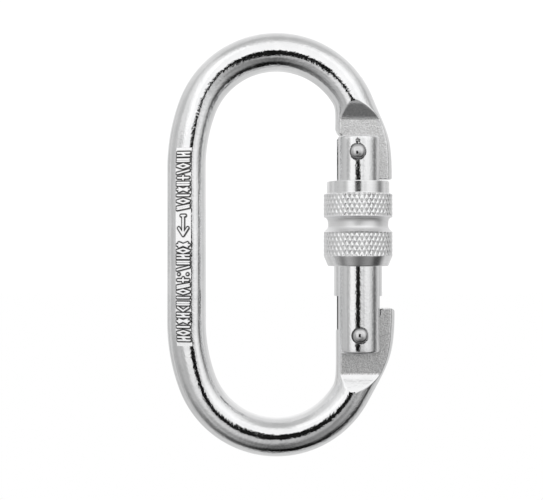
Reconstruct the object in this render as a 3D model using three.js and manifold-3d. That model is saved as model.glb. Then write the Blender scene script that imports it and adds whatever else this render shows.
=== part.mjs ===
// A steel oval screw-lock carabiner, hanging by its upper bend.
// Millimetres, +Z up along the load line, -Y to the front, origin where an anchor bears on the upper bend.
import * as THREE from "three";
import { mergeVertices } from "three/addons/utils/BufferGeometryUtils.js";
import Module from "manifold-3d";

const wasm = await Module();
wasm.setup();

const DEGREE = Math.PI / 180;

// ---------------------------------------------------------------- driving dimensions

// Frame: one steel bar bent into an oval, with both ends pressed flat.
const OVERALL_LENGTH = 110;
const BAR_RADIUS = 5;
const BEND_RADIUS = 22; // centreline of the upper and lower bends
const FLANK_RADIUS = 45; // centreline of the easy curve between a bend and the spine
const FLANK_ANGLE = 20 * DEGREE;
const CHEEK_THICKNESS = 5.4; // the pressed ends, front to back
const CHEEK_SLOPE = 27 * DEGREE; // the ramp from a pressed cheek up to the round bar
const MARKING_FLAT_DEPTH = 0.35; // pressed into the front of the spine
const MARKING_FLAT_LENGTH = 51.5;
const MARKING_FLAT_RISE = -0.8; // its middle from the oval's middle

// Gate: a turned bar with a fork at each end and a blind bore for its spring.
const GATE_INSET = 0.8; // gate axis inside the bends' centreline
const GATE_RADIUS = 6.2;
const GATE_LENGTH = 56;
const GATE_EDGE = 0.7; // rounding of both ends
const FORK_CLEARANCE = 0.4; // between a prong and a cheek, each side
const UPPER_FORK_DEPTH = 13.5;
const LOWER_FORK_DEPTH = 14.7;
const SPRING_BORE_RADIUS = 2.7;
const SPRING_BORE_DEPTH = 20.3;

// Rivets: the latch pin at the nose and the hinge pin, alike.
const RIVET_RADIUS = 1.6;
const RIVET_HEAD_RIM = 0.45; // how far a head stands out round its pin
const RIVET_HEAD_HEIGHT = 1.5;
const RIVET_SEAT_DEPTH = 0.45; // the spot face that a head sits in
const RIVET_CLEARANCE = 0.1;
const HINGE_CLEARANCE = 0.2; // hinge pin in the frame's eye
const LATCH_DROP = 4.3; // latch pin below the gate's upper end
const LATCH_INSET = 0.55; // latch pin inside the gate axis
const HINGE_RISE = 4.75; // hinge pin above the gate's lower end
const HINGE_OUTSET = 0.1; // hinge pin outside the gate axis

// Nose: the upper pressed end, with a hooked tongue inside the fork and a lip outside it.
const NOSE_CHEEK_MARGIN = 4.3; // flat cheek beyond the gate's upper end
const NOSE_INNER_REACH = 6.15; // its inner and outer edges from the gate axis
const NOSE_OUTER_REACH = 8.8;
const NOSE_OVERLAP = 11.15; // how far the lip comes down past the gate's upper end
const LIP_THICKNESS = 3; // the lip outside the gate, seen from the front
const LATCH_PLAY_ABOVE = 0.4; // the notch above the latch pin
const LATCH_PLAY_BELOW = 0.8;
const LATCH_PLAY_OUT = 0.35; // from the latch pin to the notch's round end
const HOOK_HEIGHT = 0.3; // how far the tongue's end stands up to catch the latch pin

// Heel: the lower pressed end, with the hinge eye, the plunger's cam and an outer hook.
const HEEL_CHEEK_MARGIN = 5.2; // flat cheek beyond the gate's lower end
const HEEL_INNER_REACH = 5.75;
const HEEL_OUTER_REACH = 9.5;
const HEEL_OVERLAP = 11.5; // how far the hook stands up past the gate's lower end
const HEEL_SHOULDER_OVERLAP = 6;
const CAM_HEIGHT = 3.5; // the cam's flat above the hinge pin
const CAM_REACH = 3; // the cam's corner inside the hinge pin

// Locking sleeve: a turned nut with two knurled bands. Each wall is measured from its bore.
const SLEEVE_CLEARANCE = 0.15; // its bore on the gate
const SLEEVE_TOP_GAP = 0.5; // to the nose lip, backed off from tight
const COLLAR_WALL = 1.75;
const COLLAR_LENGTH = 3.2;
const KNURL_WALL = 2.55;
const UPPER_KNURL_LENGTH = 5.9;
const WAIST_WALL = 1.45;
const WAIST_LENGTH = 4;
const LOWER_KNURL_LENGTH = 6.2;
const SKIRT_LENGTH = 2.6;
const SKIRT_WALL = 1.45;
const SLEEVE_EDGE = 0.3;

// Plunger and spring, hidden in the gate.
const PLUNGER_CLEARANCE = 0.3; // in the bore
const PLUNGER_LENGTH = 12.4;
const PLUNGER_STEM_LENGTH = 6; // inside the spring
const PLUNGER_GAP = 0.2; // from the cam
const WIRE_RADIUS = 0.35;
const COIL_CLEARANCE = 0.35; // to the bore
const STEM_CLEARANCE = 0.45; // inside the coils
const COIL_TURNS = 9;
const COIL_GAP = 0.3; // to the bore's end and to the plunger

// Facets
const BAR_SIDES = 24;
const BEND_STEPS = 28;
const FLANK_STEPS = 4;
const END_STEPS = 12;
const ROUND_SIDES = 48;
const RIVET_SIDES = 24;
const EDGE_STEPS = 3;
const DOME_STEPS = 6;

// ---------------------------------------------------------------- worked-out places
// Heights are from the oval's middle until the whole is set on its origin.

const OUTER_RADIUS = BEND_RADIUS + BAR_RADIUS;
const INNER_RADIUS = BEND_RADIUS - BAR_RADIUS;
const BEND_RISE = OVERALL_LENGTH / 2 - OUTER_RADIUS; // bend centres
const SPINE_X = -(BEND_RADIUS * Math.cos(FLANK_ANGLE) + FLANK_RADIUS * (1 - Math.cos(FLANK_ANGLE)));
const CHEEK_Y = CHEEK_THICKNESS / 2;

const GATE_X = BEND_RADIUS - GATE_INSET;
const GATE_TOP = GATE_LENGTH / 2;
const GATE_FOOT = -GATE_TOP;
const FORK_Y = CHEEK_Y + FORK_CLEARANCE;
const UPPER_FORK_FLOOR = GATE_TOP - UPPER_FORK_DEPTH;
const LOWER_FORK_FLOOR = GATE_FOOT + LOWER_FORK_DEPTH; // the spring bore's mouth
const BORE_END = LOWER_FORK_FLOOR + SPRING_BORE_DEPTH;

const RIVET_HEAD_RADIUS = RIVET_RADIUS + RIVET_HEAD_RIM;
const LATCH_X = GATE_X - LATCH_INSET;
const LATCH_Z = GATE_TOP - LATCH_DROP;
const HINGE_X = GATE_X + HINGE_OUTSET;
const HINGE_Z = GATE_FOOT + HINGE_RISE;

const NOSE_CHEEK_Z = GATE_TOP + NOSE_CHEEK_MARGIN;
const NOSE_TIP_Z = GATE_TOP - NOSE_OVERLAP;
const NOSE_INNER_X = GATE_X - NOSE_INNER_REACH;
const NOSE_TIP_X = GATE_X + NOSE_OUTER_REACH;
const LIP_X = NOSE_TIP_X - LIP_THICKNESS;

const HEEL_CHEEK_Z = GATE_FOOT - HEEL_CHEEK_MARGIN;
const HEEL_TIP_Z = GATE_FOOT + HEEL_OVERLAP;
const SHOULDER_Z = GATE_FOOT + HEEL_SHOULDER_OVERLAP;
const HEEL_INNER_X = GATE_X - HEEL_INNER_REACH;
const HEEL_TIP_X = GATE_X + HEEL_OUTER_REACH;
const CAM_Z = HINGE_Z + CAM_HEIGHT;

const SLEEVE_BORE = GATE_RADIUS + SLEEVE_CLEARANCE;
const SLEEVE_TOP = NOSE_TIP_Z - SLEEVE_TOP_GAP;

const PLUNGER_RADIUS = SPRING_BORE_RADIUS - PLUNGER_CLEARANCE;
const COIL_RADIUS = SPRING_BORE_RADIUS - COIL_CLEARANCE - WIRE_RADIUS;
const STEM_RADIUS = COIL_RADIUS - WIRE_RADIUS - STEM_CLEARANCE;
const PLUNGER_TIP = CAM_Z + PLUNGER_GAP;
const PLUNGER_SEAT = PLUNGER_TIP + PLUNGER_LENGTH; // the spring's lower end

// ---------------------------------------------------------------- solids and meshes

// A closed three.js geometry as a manifold-3d solid.
function solidOf(geometry) {
  const bare = geometry.index ? geometry.toNonIndexed() : geometry.clone();
  bare.deleteAttribute("normal");
  bare.deleteAttribute("uv");
  const merged = mergeVertices(bare, 1e-4);
  return new wasm.Manifold(
    new wasm.Mesh({
      numProp: 3,
      vertProperties: merged.attributes.position.array,
      triVerts: new Uint32Array(merged.index.array),
    }),
  );
}

function geometryOf(solid) {
  const mesh = solid.getMesh();
  const geometry = new THREE.BufferGeometry();
  geometry.setAttribute("position", new THREE.BufferAttribute(mesh.vertProperties, 3));
  geometry.setIndex(new THREE.BufferAttribute(mesh.triVerts, 1));
  const flat = geometry.toNonIndexed();
  flat.computeVertexNormals();
  return flat;
}

function subtractAll(solid, cuts) {
  return cuts.reduce((rest, cut) => rest.subtract(cut), solid);
}

// An outline in X and Z, extruded right through the object from front to back.
function throughCut(outline) {
  const depth = GATE_RADIUS * 4;
  const geometry = new THREE.ExtrudeGeometry(outline, { depth, bevelEnabled: false });
  return solidOf(geometry.rotateX(Math.PI / 2).translate(0, depth / 2, 0));
}

// A block between two corners, given as [x, y, z].
function block(low, high) {
  const size = high.map((value, i) => value - low[i]);
  const middle = high.map((value, i) => (value + low[i]) / 2);
  return solidOf(new THREE.BoxGeometry(...size).translate(...middle));
}

// A cylinder that lies front to back at (x, z).
function crossPin(radius, x, z, from, to) {
  const geometry = new THREE.CylinderGeometry(radius, radius, to - from, RIVET_SIDES);
  return solidOf(geometry.translate(x, (from + to) / 2, z));
}

// A profile of [radius, z] turned about the gate's axis.
function turned(profile, sides = ROUND_SIDES) {
  const points = profile.map(([radius, z]) => new THREE.Vector2(radius, z));
  return solidOf(new THREE.LatheGeometry(points, sides).rotateX(Math.PI / 2).translate(GATE_X, 0, 0));
}

// A quarter round of [radius, along] from the side of a bar or dome to its end.
function quarterRound(radius, along, across, height, steps) {
  return Array.from({ length: steps + 1 }, (_, i) => {
    const turn = (i / steps) * (Math.PI / 2);
    const inward = i === steps ? across : across * (1 - Math.cos(turn));
    return [radius - inward, along + height * Math.sin(turn)];
  });
}

// ---------------------------------------------------------------- frame

// An arc of the bar in X and Z, as pairs of points [inner edge, outer edge].
function bentBar(center, radius, innerAngles, outerAngles, steps) {
  const on = (edge, angles, i) => {
    const angle = THREE.MathUtils.lerp(angles[0], angles[1], i / steps);
    return new THREE.Vector2(Math.cos(angle), Math.sin(angle)).multiplyScalar(edge).add(center);
  };
  return Array.from({ length: steps + 1 }, (_, i) => [
    on(radius - BAR_RADIUS, innerAngles, i),
    on(radius + BAR_RADIUS, outerAngles, i),
  ]);
}

// One edge of a pressed end: it leaves its bend at an angle and arrives upright at the tip.
// side is 1 at the nose and -1 at the heel, and each pull is the length of a Bezier handle.
function endEdge(side, radius, angle, tip, leavingPull, arrivingPull) {
  const outward = new THREE.Vector2(Math.cos(angle), side * Math.sin(angle));
  const start = outward.clone().multiplyScalar(radius).add(new THREE.Vector2(0, side * BEND_RISE));
  const leaving = new THREE.Vector2(Math.sin(angle), -side * Math.cos(angle)).multiplyScalar(leavingPull);
  const arriving = new THREE.Vector2(0, side * arrivingPull);
  return new THREE.CubicBezierCurve(start, start.clone().add(leaving), tip.clone().add(arriving), tip);
}

// The bar's two edges all the way round, as pairs of points, from the nose tip to the heel tip.
function barEdges() {
  const innerLeaves = 32 * DEGREE; // where each edge of a pressed end leaves its bend
  const noseLeaves = 22 * DEGREE;
  const heelLeaves = 28 * DEGREE;
  const flank = Math.PI - FLANK_ANGLE;

  const innerEdge = (side, x, z) =>
    endEdge(side, INNER_RADIUS, innerLeaves, new THREE.Vector2(x, z), 2.5, 17).getPoints(END_STEPS);
  const noseInner = innerEdge(1, NOSE_INNER_X, NOSE_TIP_Z);
  const heelInner = innerEdge(-1, HEEL_INNER_X, HEEL_TIP_Z);
  const noseTip = new THREE.Vector2(NOSE_TIP_X, NOSE_TIP_Z);
  const heelTip = new THREE.Vector2(HEEL_TIP_X, HEEL_TIP_Z);
  const noseOuter = endEdge(1, OUTER_RADIUS, noseLeaves, noseTip, 10, 12).getPoints(END_STEPS);
  const heelOuter = endEdge(-1, OUTER_RADIUS, heelLeaves, heelTip, 11, 13).getPoints(END_STEPS);

  const paired = (inner, outer) => inner.map((point, i) => [point, outer[i]]);
  const mirrored = (pairs) =>
    pairs.map((pair) => pair.map((point) => new THREE.Vector2(point.x, -point.y))).reverse();
  const bend = (leaves) => {
    const center = new THREE.Vector2(0, BEND_RISE);
    return bentBar(center, BEND_RADIUS, [innerLeaves, flank], [leaves, flank], BEND_STEPS).slice(1);
  };
  const flankCenter = new THREE.Vector2(Math.cos(FLANK_ANGLE), -Math.sin(FLANK_ANGLE))
    .multiplyScalar(FLANK_RADIUS - BEND_RADIUS)
    .add(new THREE.Vector2(0, BEND_RISE));
  const easy = bentBar(flankCenter, FLANK_RADIUS, [flank, Math.PI], [flank, Math.PI], FLANK_STEPS).slice(1);

  return [
    ...paired(noseInner, noseOuter).reverse(),
    ...bend(noseLeaves),
    ...easy,
    ...mirrored(easy),
    ...mirrored(bend(heelLeaves)),
    ...paired(heelInner, heelOuter),
  ];
}

// A bar whose section at each pair of edge points is an ellipse between them, as deep as the bar.
function barBetween(pairs) {
  const positions = [];
  for (const [inner, outer] of pairs) {
    const middle = inner.clone().add(outer).divideScalar(2);
    const half = outer.clone().sub(inner).divideScalar(2);
    for (let k = 0; k < BAR_SIDES; k++) {
      const turn = (2 * Math.PI * k) / BAR_SIDES;
      const across = middle.clone().addScaledVector(half, Math.cos(turn));
      positions.push(across.x, BAR_RADIUS * Math.sin(turn), across.y);
    }
  }
  const index = [];
  const lastRing = (pairs.length - 1) * BAR_SIDES;
  for (let ring = 0; ring < lastRing; ring += BAR_SIDES) {
    for (let k = 0; k < BAR_SIDES; k++) {
      const next = (k + 1) % BAR_SIDES;
      index.push(ring + k, ring + next, ring + next + BAR_SIDES);
      index.push(ring + k, ring + next + BAR_SIDES, ring + k + BAR_SIDES);
    }
  }
  for (let k = 1; k < BAR_SIDES - 1; k++) {
    index.push(0, k + 1, k);
    index.push(lastRing, lastRing + k, lastRing + k + 1);
  }
  const geometry = new THREE.BufferGeometry();
  geometry.setAttribute("position", new THREE.Float32BufferAttribute(positions, 3));
  geometry.setIndex(index);
  return solidOf(geometry);
}

// The die that presses one cheek: flat along the cheek, then a ramp out to clear the round bar.
// side is 1 at the nose and -1 at the heel, face is -1 at the front and 1 at the back.
function cheekDie(side, face, cheekZ, tipZ) {
  const clear = BAR_RADIUS * 2;
  const ramp = (clear - CHEEK_Y) / Math.tan(CHEEK_SLOPE);
  const past = tipZ - side * BAR_RADIUS;
  const profile = [
    [CHEEK_Y, cheekZ],
    [CHEEK_Y, past],
    [clear, past],
    [clear, cheekZ + side * ramp],
  ].map(([y, z]) => new THREE.Vector2(-z, y * face));
  const from = NOSE_INNER_X - BAR_RADIUS * 1.5;
  const depth = HEEL_TIP_X + BAR_RADIUS - from;
  const geometry = new THREE.ExtrudeGeometry(new THREE.Shape(profile), { depth, bevelEnabled: false });
  return solidOf(geometry.rotateY(Math.PI / 2).translate(from, 0, 0));
}

// What is cut from the nose: the gap inside the tongue, with the notch that the latch pin comes to rest in.
function noseOutline() {
  const clear = NOSE_INNER_X - BAR_RADIUS;
  const hookX = LATCH_X - RIVET_RADIUS * 2; // the inside of the hook that catches the latch pin
  const tongueX = hookX - 0.25;
  const notchTop = LATCH_Z + RIVET_RADIUS + LATCH_PLAY_ABOVE;
  const notchFloor = LATCH_Z - RIVET_RADIUS - LATCH_PLAY_BELOW;
  const notchRadius = (notchTop - notchFloor) / 2;
  const notchX = LATCH_X + RIVET_RADIUS + LATCH_PLAY_OUT - notchRadius;
  const hookTop = notchFloor + HOOK_HEIGHT;
  const shape = new THREE.Shape();
  shape.moveTo(clear, GATE_TOP + 3);
  shape.lineTo(clear, NOSE_TIP_Z - 2);
  shape.lineTo(LIP_X, NOSE_TIP_Z - 2);
  shape.lineTo(LIP_X, NOSE_TIP_Z);
  shape.quadraticCurveTo(LIP_X - 2.5, NOSE_TIP_Z + 0.5, tongueX + 2.8, NOSE_TIP_Z + 1.6);
  shape.quadraticCurveTo(tongueX, notchFloor - 3.2, tongueX, notchFloor - 1);
  shape.quadraticCurveTo(tongueX, hookTop, tongueX + 0.6, hookTop);
  shape.lineTo(hookX + 0.9, hookTop);
  shape.lineTo(hookX + 1.3, notchFloor);
  shape.absarc(notchX, notchFloor + notchRadius, notchRadius, -Math.PI / 2, Math.PI / 2, false);
  shape.lineTo(hookX + 0.8, notchTop);
  shape.quadraticCurveTo(tongueX, notchTop + 0.2, tongueX - 0.3, GATE_TOP + 0.2);
  shape.quadraticCurveTo(NOSE_INNER_X + 0.2, GATE_TOP + 1, NOSE_INNER_X - 0.1, GATE_TOP + 3);
  return shape;
}

// What is cut from the heel: all that stands above the shoulder, the cam and the outer hook.
function heelOutline() {
  const clear = HEEL_INNER_X - BAR_RADIUS;
  const top = HEEL_TIP_Z + 2;
  const camX = HINGE_X - CAM_REACH;
  const camEdge = 0.3;
  const hookX = HEEL_TIP_X - LIP_THICKNESS - 1;
  const shape = new THREE.Shape();
  shape.moveTo(clear, SHOULDER_Z);
  shape.lineTo(camX - camEdge * 3, SHOULDER_Z);
  shape.quadraticCurveTo(camX, SHOULDER_Z, camX, CAM_Z - camEdge);
  shape.quadraticCurveTo(camX, CAM_Z, camX + camEdge, CAM_Z);
  shape.lineTo(HINGE_X + CAM_REACH * 0.7, CAM_Z);
  shape.quadraticCurveTo(hookX, CAM_Z, hookX, HEEL_TIP_Z - 1);
  shape.lineTo(hookX, top);
  shape.lineTo(clear, top);
  return shape;
}

function frameSolid() {
  const flatY = -(BAR_RADIUS - MARKING_FLAT_DEPTH);
  const flatHalf = MARKING_FLAT_LENGTH / 2;
  const markingFlat = block(
    [SPINE_X - BAR_RADIUS, flatY - BAR_RADIUS, MARKING_FLAT_RISE - flatHalf],
    [SPINE_X + BAR_RADIUS, flatY, MARKING_FLAT_RISE + flatHalf],
  );
  const hingeEye = crossPin(RIVET_RADIUS + HINGE_CLEARANCE, HINGE_X, HINGE_Z, -BAR_RADIUS, BAR_RADIUS);
  const cuts = [markingFlat, hingeEye, throughCut(noseOutline()), throughCut(heelOutline())];
  for (const face of [-1, 1]) {
    cuts.push(cheekDie(1, face, NOSE_CHEEK_Z, NOSE_TIP_Z));
    cuts.push(cheekDie(-1, face, HEEL_CHEEK_Z, HEEL_TIP_Z));
  }
  return subtractAll(barBetween(barEdges()), cuts);
}

// ---------------------------------------------------------------- gate and its rivets

function gateSolid() {
  const end = quarterRound(GATE_RADIUS, GATE_TOP - GATE_EDGE, GATE_EDGE, GATE_EDGE, EDGE_STEPS);
  const foot = end.map(([radius, z]) => [radius, -z]).reverse();
  const bar = turned([[0, GATE_FOOT], ...foot, ...end, [0, GATE_TOP]]);

  const wide = GATE_RADIUS * 2;
  const fork = (low, high) => block([GATE_X - wide, -FORK_Y, low], [GATE_X + wide, FORK_Y, high]);
  const cuts = [fork(UPPER_FORK_FLOOR, GATE_TOP + 1), fork(GATE_FOOT - 1, LOWER_FORK_FLOOR)];

  const boreMouth = LOWER_FORK_FLOOR - 1;
  cuts.push(
    turned([[0, boreMouth], [SPRING_BORE_RADIUS, boreMouth], [SPRING_BORE_RADIUS, BORE_END], [0, BORE_END]],
      RIVET_SIDES),
  );
  const seat = GATE_RADIUS - RIVET_SEAT_DEPTH;
  for (const [x, z] of [[LATCH_X, LATCH_Z], [HINGE_X, HINGE_Z]]) {
    cuts.push(crossPin(RIVET_RADIUS + RIVET_CLEARANCE, x, z, -wide, wide));
    cuts.push(crossPin(RIVET_HEAD_RADIUS + RIVET_CLEARANCE, x, z, -wide, -seat));
    cuts.push(crossPin(RIVET_HEAD_RADIUS + RIVET_CLEARANCE, x, z, seat, wide));
  }
  return subtractAll(bar, cuts);
}

// A pin with a domed head at each end, lying front to back.
function rivetGeometry() {
  const seat = GATE_RADIUS - RIVET_SEAT_DEPTH + RIVET_CLEARANCE;
  const skirt = seat + RIVET_SEAT_DEPTH / 2;
  const dome = quarterRound(RIVET_HEAD_RADIUS, skirt, RIVET_HEAD_RADIUS, RIVET_HEAD_HEIGHT, DOME_STEPS);
  const back = [[RIVET_RADIUS, seat], [RIVET_HEAD_RADIUS, seat], ...dome];
  const front = back.map(([radius, along]) => [radius, -along]).reverse();
  const points = [...front, ...back].map(([radius, along]) => new THREE.Vector2(radius, along));
  return new THREE.LatheGeometry(points, RIVET_SIDES);
}

// ---------------------------------------------------------------- sleeve, plunger and spring

function sleeveSolid() {
  const collar = SLEEVE_BORE + COLLAR_WALL;
  const knurl = SLEEVE_BORE + KNURL_WALL;
  const waist = SLEEVE_BORE + WAIST_WALL;
  const profile = [[SLEEVE_BORE + SLEEVE_EDGE, SLEEVE_TOP], [collar - SLEEVE_EDGE, SLEEVE_TOP]];
  let z = SLEEVE_TOP;
  const down = (length, radius) => profile.push([radius, (z -= length)]);
  down(SLEEVE_EDGE, collar);
  down(COLLAR_LENGTH - SLEEVE_EDGE, collar);
  down(SLEEVE_EDGE, knurl);
  down(UPPER_KNURL_LENGTH - SLEEVE_EDGE, knurl);
  down(WAIST_LENGTH * 0.35, waist);
  down(WAIST_LENGTH * 0.25, waist);
  down(WAIST_LENGTH * 0.4, knurl);
  down(LOWER_KNURL_LENGTH, knurl);
  down(SKIRT_LENGTH, SLEEVE_BORE + SKIRT_WALL);
  profile.push([SLEEVE_BORE + SLEEVE_EDGE, z]);
  profile.push([SLEEVE_BORE, z + SLEEVE_EDGE], [SLEEVE_BORE, SLEEVE_TOP - SLEEVE_EDGE]);
  profile.push(profile[0]);
  return turned(profile.reverse());
}

function plungerSolid() {
  const edge = 0.2;
  const stemEnd = PLUNGER_SEAT + PLUNGER_STEM_LENGTH;
  const profile = [
    [0, PLUNGER_TIP],
    [PLUNGER_RADIUS - edge, PLUNGER_TIP],
    [PLUNGER_RADIUS, PLUNGER_TIP + edge],
    [PLUNGER_RADIUS, PLUNGER_SEAT],
    [STEM_RADIUS, PLUNGER_SEAT],
    [STEM_RADIUS, stemEnd],
    [0, stemEnd],
  ];
  return turned(profile, RIVET_SIDES);
}

class Helix extends THREE.Curve {
  constructor(radius, turns, low, high) {
    super();
    Object.assign(this, { radius, turns, low, high });
  }
  getPoint(t, target = new THREE.Vector3()) {
    const turn = 2 * Math.PI * this.turns * t;
    const z = THREE.MathUtils.lerp(this.low, this.high, t);
    return target.set(this.radius * Math.cos(turn), this.radius * Math.sin(turn), z);
  }
}

function springGeometry() {
  const low = PLUNGER_SEAT + COIL_GAP + WIRE_RADIUS;
  const high = BORE_END - COIL_GAP - WIRE_RADIUS;
  const wire = new THREE.Shape();
  wire.absarc(0, 0, WIRE_RADIUS, 0, 2 * Math.PI, false);
  return new THREE.ExtrudeGeometry(wire, {
    steps: COIL_TURNS * 14,
    curveSegments: 3,
    extrudePath: new Helix(COIL_RADIUS, COIL_TURNS, low, high),
  });
}

// ---------------------------------------------------------------- materials and assembly

const zincSteel = new THREE.MeshStandardMaterial({ color: 0xd6d8da, roughness: 0.16, metalness: 1 });
const gateSteel = new THREE.MeshStandardMaterial({ color: 0xd2d4d6, roughness: 0.14, metalness: 1 });
const rivetSteel = new THREE.MeshStandardMaterial({ color: 0xb4b6b8, roughness: 0.2, metalness: 1 });
const sleeveAlloy = new THREE.MeshStandardMaterial({ color: 0xe2e3e4, roughness: 0.24, metalness: 1 });
const springSteel = new THREE.MeshStandardMaterial({ color: 0x8c8e90, roughness: 0.3, metalness: 1 });

function piece(name, geometry, material) {
  const mesh = new THREE.Mesh(geometry, material);
  mesh.name = name;
  return mesh;
}

function rivet(name, x, z) {
  const mesh = piece(name, rivetGeometry(), rivetSteel);
  mesh.position.set(x, 0, z);
  return mesh;
}

function coil() {
  const mesh = piece("gate_spring", springGeometry(), springSteel);
  mesh.position.x = GATE_X;
  return mesh;
}

const carabiner = new THREE.Group();
carabiner.add(
  piece("frame", geometryOf(frameSolid()), zincSteel),
  piece("gate_body", geometryOf(gateSolid()), gateSteel),
  rivet("latch_rivet", LATCH_X, LATCH_Z),
  rivet("hinge_rivet", HINGE_X, HINGE_Z),
  piece("locking_sleeve", geometryOf(sleeveSolid()), sleeveAlloy),
  piece("gate_plunger", geometryOf(plungerSolid()), rivetSteel),
  coil(),
);
carabiner.position.z = -(BEND_RISE + INNER_RADIUS); // the anchor's bearing point is the origin

export default carabiner;
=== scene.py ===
# %% [markdown]
# # An oval screw-lock carabiner
#
# The object is a bent steel bar, a sprung gate hinged across its open side, and a knurled nut that screws up
# the gate to lock it. The engineering model comes first, as a fixed frame: it knows where each piece is and
# how it moves. Everything made here is a finer surface in the same place, riding on the same moving body.
# All shapes below are worked out in millimetres and put into Blender in metres.

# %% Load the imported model
import math

import bmesh
import bpy
import numpy as np
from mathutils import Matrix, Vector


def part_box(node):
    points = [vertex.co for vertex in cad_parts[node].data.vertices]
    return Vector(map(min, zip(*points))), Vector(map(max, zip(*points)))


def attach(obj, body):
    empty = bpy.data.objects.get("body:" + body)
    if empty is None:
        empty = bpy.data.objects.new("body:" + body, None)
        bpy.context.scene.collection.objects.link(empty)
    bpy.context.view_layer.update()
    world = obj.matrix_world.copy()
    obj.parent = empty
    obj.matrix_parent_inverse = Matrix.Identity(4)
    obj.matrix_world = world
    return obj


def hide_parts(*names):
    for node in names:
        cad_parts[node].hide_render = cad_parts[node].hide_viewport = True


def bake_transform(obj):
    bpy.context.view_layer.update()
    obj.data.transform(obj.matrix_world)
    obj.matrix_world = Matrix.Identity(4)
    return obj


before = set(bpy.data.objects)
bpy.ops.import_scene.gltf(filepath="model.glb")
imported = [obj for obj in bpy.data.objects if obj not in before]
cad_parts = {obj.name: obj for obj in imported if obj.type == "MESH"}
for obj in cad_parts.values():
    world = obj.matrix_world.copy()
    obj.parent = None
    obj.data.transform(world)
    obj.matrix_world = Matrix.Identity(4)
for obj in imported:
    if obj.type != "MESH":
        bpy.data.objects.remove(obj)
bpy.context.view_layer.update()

# %% [markdown]
# Places come from the boxes of the engineering pieces. A box gives a piece's lowest and highest corner, and
# that is enough for the bar's thickness, the gate's axis and the centre of each pin.

# %% Sizes read from the frame, in millimetres
MM = 0.001


def corners(node):
    """The lowest and highest corner of one engineering piece, as two numpy rows in millimetres."""
    low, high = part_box(node)
    return np.array(low) / MM, np.array(high) / MM


frame_low, frame_high = corners("frame")
gate_low, gate_high = corners("gate_body")
sleeve_low, sleeve_high = corners("locking_sleeve")
latch_low, latch_high = corners("latch_rivet")
hinge_low, hinge_high = corners("hinge_rivet")
plunger_low, plunger_high = corners("gate_plunger")
spring_low, spring_high = corners("gate_spring")

BAR = frame_high[1]
MIDDLE_Z = (frame_low[2] + frame_high[2]) / 2
GATE_X = (gate_low[0] + gate_high[0]) / 2
GATE_R = gate_high[1]
GATE_TOP, GATE_FOOT = gate_high[2], gate_low[2]
LATCH = np.array([latch_low[0] + latch_high[0], latch_low[2] + latch_high[2]]) / 2
HINGE = np.array([hinge_low[0] + hinge_high[0], hinge_low[2] + hinge_high[2]]) / 2
HEAD_R = (latch_high[2] - latch_low[2]) / 2
print(f"bar radius {BAR:.2f}, gate radius {GATE_R:.2f} at x {GATE_X:.2f}, middle at z {MIDDLE_Z:.2f}")

# %% [markdown]
# A box can't say how the bar is bent or pressed. These are the few sizes that a maker's drawing would give.

# %% Sizes of the bends and the pressed ends, in millimetres and degrees
BEND = 22.0  # centreline of the two end bends
FLANK = 45.0  # centreline of the easy curve between a bend and the spine
FLANK_TURN = 20.0
BEND_RISE = (frame_high[2] - frame_low[2]) / 2 - BEND - BAR  # bend centres above and below the middle
SPINE_X = -(BEND * math.cos(math.radians(FLANK_TURN)) + FLANK * (1 - math.cos(math.radians(FLANK_TURN))))
CHEEK = 2.7  # half the thickness of a pressed end
RAMP_LENGTH = 4.9  # where a pressed end climbs back to the round bar
FORK = 3.1  # half the width of the gate's slots
LIP = 3.0  # the lip outside the gate, seen from the front
PIN_R = 1.6
NOSE_INSIDE, HEEL_INSIDE = GATE_X - 6.15, GATE_X - 5.75  # where the bar's inner edge ends
NOSE_CHEEK_Z = GATE_TOP + 4.3  # where each flat cheek ends and its ramp begins
HEEL_CHEEK_Z = GATE_FOOT - 5.2
NOSE_TIP = np.array([GATE_X + 8.8, GATE_TOP - 11.15])
HEEL_TIP = np.array([GATE_X + 9.5, GATE_FOOT + 11.5])
print(f"bend centres {BEND_RISE:.1f} from the middle, spine at x {SPINE_X:.2f}")

# %% [markdown]
# Every surface here is a grid of points: one number runs along the shape and the other round it. Blender
# wants two lists, the points and the four corners of each face. Both are built as whole arrays, and the mesh
# takes them in one call each. Where a row shrinks to a single point, such as the tip of a dome, welding the
# doubled points closes it.

# %% Helpers that turn arrays into meshes
def together(*parts):
    """Joins coordinates, numbers or arrays that stretch over one another, into points along a last axis."""
    return np.stack(np.broadcast_arrays(*parts), axis=-1)


def grid_faces(rows, cols, close_rows=False):
    """Corners of the cells between neighbouring rows and columns; the columns, and closed rows, wrap round."""
    r = np.arange(rows if close_rows else rows - 1)[:, None]
    c = np.arange(cols)[None, :]
    up, across = (r + 1) % rows, (c + 1) % cols
    cells = [r * cols + c, r * cols + across, up * cols + across, up * cols + c]
    return together(*cells).reshape(-1, 4)


def weld(obj):
    """Merges doubled points, drops empty faces and turns every face outwards."""
    work = bmesh.new()
    work.from_mesh(obj.data)
    bmesh.ops.remove_doubles(work, verts=work.verts, dist=1e-7)
    bmesh.ops.dissolve_degenerate(work, edges=work.edges, dist=1e-8)
    bmesh.ops.recalc_face_normals(work, faces=work.faces)
    work.to_mesh(obj.data)
    work.free()
    return obj


def placed(name, mesh):
    """An object at the origin that shows the mesh, linked to the scene."""
    obj = bpy.data.objects.new(name, mesh)
    bpy.context.scene.collection.objects.link(obj)
    return obj


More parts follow.
